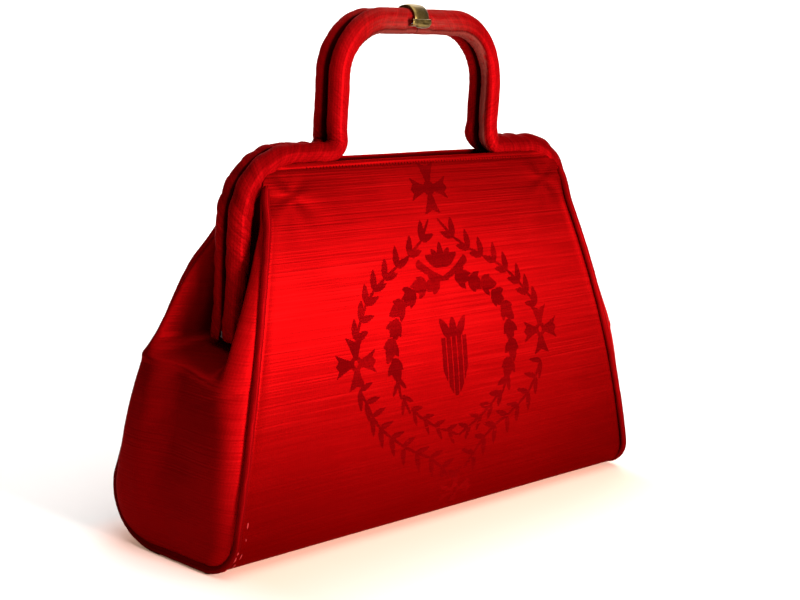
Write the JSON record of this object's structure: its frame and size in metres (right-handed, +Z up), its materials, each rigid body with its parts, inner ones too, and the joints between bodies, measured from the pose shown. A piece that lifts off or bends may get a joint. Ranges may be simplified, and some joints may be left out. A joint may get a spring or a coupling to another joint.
{
  "type": "frame handbag",
  "caption": "Cloth-covered frame handbag with boarded sides, folded end gussets, a hinged padded frame that forms its own handle, and a flip-over brass clasp.",
  "frame": {"origin": "middle of the base, on the surface it stands on", "axes": "+X along the bag to the right seen from its front, +Y to its back, +Z up; the front faces -Y"},
  "size_m": [0.328, 0.0978, 0.2698],
  "materials": {
    "silk": "slubbed silk with a woven pattern",
    "lining": "plain dark lining cloth",
    "card": "grey-brown card, out of sight",
    "steel": "plain drawn rod",
    "brass": "worn polished brass"
  },
  "bodies": {
    "bag": {"body_panel": "silk", "front_board": "card", "rear_board": "card", "base_board": "card", "lining": "lining", "left_gusset": "silk", "right_gusset": "silk", "left_piping": "silk", "right_piping": "silk", "rear_frame": "steel", "rear_cover_left": "silk", "rear_cover_right": "silk", "left_hinge_pin": "steel", "right_hinge_pin": "steel", "clasp_catch": "brass"},
    "front_half": {"front_frame": "steel", "front_cover_left": "silk", "front_cover_right": "silk", "clasp_seat": "brass", "clasp_pin": "steel"},
    "clasp": {"clasp_tongue": "brass"}
  },
  "joints": [
    {"name": "frame_hinge", "type": "hinge", "parent": "bag", "child": "front_half", "pos_m": [0, 0, 0.109], "axis": [1, 0, 0], "range_deg": [0, 40], "deforming": ["body_panel", "front_board", "lining", "left_gusset", "right_gusset", "left_piping", "right_piping"]},
    {"name": "clasp_flip", "type": "hinge", "parent": "front_half", "child": "clasp", "pos_m": [-0.005, -0.0128, 0.2617], "axis": [1, 0, 0], "range_deg": [0, 120]}
  ]
}
